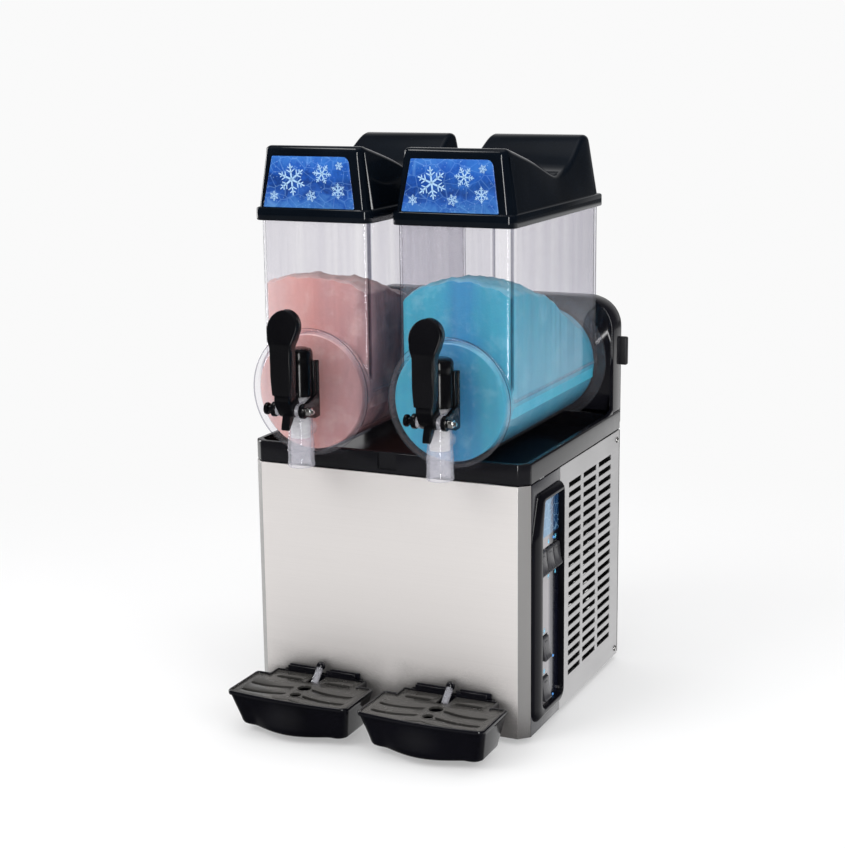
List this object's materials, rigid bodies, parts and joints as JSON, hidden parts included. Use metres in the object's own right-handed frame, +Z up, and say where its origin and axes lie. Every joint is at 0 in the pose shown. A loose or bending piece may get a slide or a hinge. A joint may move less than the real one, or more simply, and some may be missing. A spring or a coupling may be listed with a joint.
{
  "type": "slush machine",
  "caption": "Twin-bowl frozen drink dispenser: clear hoppers over freezing drums, pull-lever taps, louvred stainless cabinet, side controls and lift-out drip trays.",
  "frame": {"origin": "centre of the bounding box on the floor, under the feet", "axes": "+Z up, -Y out of the front (taps and trays), +X to the machine's control side (the right-hand side seen from the front)"},
  "size_m": [0.406, 0.489, 0.756],
  "materials": {
    "stainless": "brushed",
    "galvanised": "satin zinc",
    "rubber_black": "matte",
    "black_satin": "satin",
    "black_gloss": "gloss",
    "column_dark": "gloss",
    "display_graphic": "gloss",
    "lamp_blue": "lit",
    "copper_fins": "satin",
    "compressor_black": "satin enamel",
    "copper": "satin",
    "motor_metal": "satin",
    "fan_plastic": "satin",
    "screw_steel": "polished",
    "drum_steel": "satin",
    "rocker_dark": "gloss",
    "bowl_clear": "clear, polished",
    "slush_pink": "wet ice",
    "slush_blue": "wet ice",
    "lid_black": "gloss",
    "sign_ice": "gloss print",
    "auger_white": "satin",
    "tap_black": "gloss",
    "tray_black": "gloss"
  },
  "bodies": {
    "cabinet": {"base_plate": "galvanised", "feet": "rubber_black", "front_panel": "stainless", "side_panel_left": "stainless", "side_panel_right": "stainless", "rear_panel": "black_satin", "frame_posts": "galvanised", "deck": "black_gloss", "tower_shell": "black_gloss", "tower_cover": "black_satin", "control_column": "column_dark", "control_bezel": "black_gloss", "display_panel": "display_graphic", "indicator_lamps": "lamp_blue", "control_box": "galvanised", "condenser": "copper_fins", "compressor": "compressor_black", "refrigerant_pipes": "copper", "fan_motor": "motor_metal", "power_inlet": "black_satin", "screws": "screw_steel", "gearmotors": "motor_metal", "evaporators": "drum_steel", "shaft_seals": "rubber_black", "bowl_seals": "rubber_black", "tray_hangers": "black_gloss"},
    "fan": {"fan_blade": "fan_plastic"},
    "rocker_auger_left": {"rocker_auger_left": "rocker_dark"},
    "rocker_auger_right": {"rocker_auger_right": "rocker_dark"},
    "rocker_chill": {"rocker_chill": "rocker_dark"},
    "rocker_power": {"rocker_power": "rocker_dark"},
    "rocker_light": {"rocker_light": "rocker_dark"},
    "bowl_left": {"bowl_left": "bowl_clear", "slush_left": "slush_pink", "tap_body_left": "tap_black", "tap_spring_left": "drum_steel", "tap_pin_left": "screw_steel"},
    "lid_left": {"lid_left": "lid_black", "lid_sign_left": "sign_ice"},
    "auger_left": {"auger_left": "auger_white", "drive_shaft_left": "drum_steel"},
    "tap_piston_left": {"tap_piston_left": "auger_white"},
    "tap_lever_left": {"tap_lever_left": "tap_black"},
    "drip_tray_left": {"drip_tray_left": "tray_black"},
    "tray_grate_left": {"tray_grate_left": "tray_black"},
    "tray_float_left": {"tray_float_left": "tray_black"},
    "bowl_right": {"bowl_right": "bowl_clear", "slush_right": "slush_blue", "tap_body_right": "tap_black", "tap_spring_right": "drum_steel", "tap_pin_right": "screw_steel"},
    "lid_right": {"lid_right": "lid_black", "lid_sign_right": "sign_ice"},
    "auger_right": {"auger_right": "auger_white", "drive_shaft_right": "drum_steel"},
    "tap_piston_right": {"tap_piston_right": "auger_white"},
    "tap_lever_right": {"tap_lever_right": "tap_black"},
    "drip_tray_right": {"drip_tray_right": "tray_black"},
    "tray_grate_right": {"tray_grate_right": "tray_black"},
    "tray_float_right": {"tray_float_right": "tray_black"}
  },
  "joints": [
    {"name": "fan_spin", "type": "hinge", "parent": "cabinet", "child": "fan", "pos_m": [-0.092, 0.1355, 0.153], "axis": [0, 1, 0], "continuous": true},
    {"name": "rocker_auger_left_tilt", "type": "hinge", "parent": "cabinet", "child": "rocker_auger_left", "pos_m": [0.189, -0.0775, 0.23], "axis": [0, 1, 0], "range_deg": [0, 14]},
    {"name": "rocker_auger_right_tilt", "type": "hinge", "parent": "cabinet", "child": "rocker_auger_right", "pos_m": [0.189, -0.053, 0.23], "axis": [0, 1, 0], "range_deg": [0, 14]},
    {"name": "rocker_chill_tilt", "type": "hinge", "parent": "cabinet", "child": "rocker_chill", "pos_m": [0.189, -0.0285, 0.23], "axis": [0, 1, 0], "range_deg": [0, 14]},
    {"name": "rocker_power_tilt", "type": "hinge", "parent": "cabinet", "child": "rocker_power", "pos_m": [0.189, -0.0675, 0.114], "axis": [0, 1, 0], "range_deg": [0, 14]},
    {"name": "rocker_light_tilt", "type": "hinge", "parent": "cabinet", "child": "rocker_light", "pos_m": [0.189, -0.0675, 0.059], "axis": [0, 1, 0], "range_deg": [0, 14]},
    {"name": "bowl_slide_left", "type": "slide", "parent": "cabinet", "child": "bowl_left", "axis": [0, -1, 0], "range_m": [0, 0.34]},
    {"name": "lid_lift_left", "type": "slide", "parent": "bowl_left", "child": "lid_left", "axis": [0, 0, 1], "range_m": [0, 0.12]},
    {"name": "auger_spin_left", "type": "hinge", "parent": "cabinet", "child": "auger_left", "pos_m": [-0.097, -0.1275, 0.444], "axis": [0, 1, 0], "continuous": true},
    {"name": "lever_pull_left", "type": "hinge", "parent": "bowl_left", "child": "tap_lever_left", "pos_m": [-0.097, -0.1995, 0.431], "axis": [1, 0, 0], "range_deg": [0, 34]},
    {"name": "piston_lift_left", "type": "slide", "parent": "bowl_left", "child": "tap_piston_left", "axis": [0, 0, 1], "range_m": [0, 0.012], "deforming": ["tap_spring_left"]},
    {"name": "tray_slide_left", "type": "slide", "parent": "cabinet", "child": "drip_tray_left", "axis": [0, -1, 0], "range_m": [0, 0.12]},
    {"name": "grate_lift_left", "type": "slide", "parent": "drip_tray_left", "child": "tray_grate_left", "axis": [0, 0, 1], "range_m": [0, 0.06]},
    {"name": "float_rise_left", "type": "slide", "parent": "drip_tray_left", "child": "tray_float_left", "axis": [0, 0, 1], "range_m": [0, 0.008]},
    {"name": "bowl_slide_right", "type": "slide", "parent": "cabinet", "child": "bowl_right", "axis": [0, -1, 0], "range_m": [0, 0.34]},
    {"name": "lid_lift_right", "type": "slide", "parent": "bowl_right", "child": "lid_right", "axis": [0, 0, 1], "range_m": [0, 0.12]},
    {"name": "auger_spin_right", "type": "hinge", "parent": "cabinet", "child": "auger_right", "pos_m": [0.097, -0.1275, 0.444], "axis": [0, 1, 0], "continuous": true},
    {"name": "lever_pull_right", "type": "hinge", "parent": "bowl_right", "child": "tap_lever_right", "pos_m": [0.097, -0.1995, 0.431], "axis": [1, 0, 0], "range_deg": [0, 34]},
    {"name": "piston_lift_right", "type": "slide", "parent": "bowl_right", "child": "tap_piston_right", "axis": [0, 0, 1], "range_m": [0, 0.012], "deforming": ["tap_spring_right"]},
    {"name": "tray_slide_right", "type": "slide", "parent": "cabinet", "child": "drip_tray_right", "axis": [0, -1, 0], "range_m": [0, 0.12]},
    {"name": "grate_lift_right", "type": "slide", "parent": "drip_tray_right", "child": "tray_grate_right", "axis": [0, 0, 1], "range_m": [0, 0.06]},
    {"name": "float_rise_right", "type": "slide", "parent": "drip_tray_right", "child": "tray_float_right", "axis": [0, 0, 1], "range_m": [0, 0.008]}
  ],
  "couplings": [
    {"joint": "piston_lift_left", "follows": "lever_pull_left", "m_per_rad": 0.02},
    {"joint": "piston_lift_right", "follows": "lever_pull_right", "m_per_rad": 0.02}
  ]
}
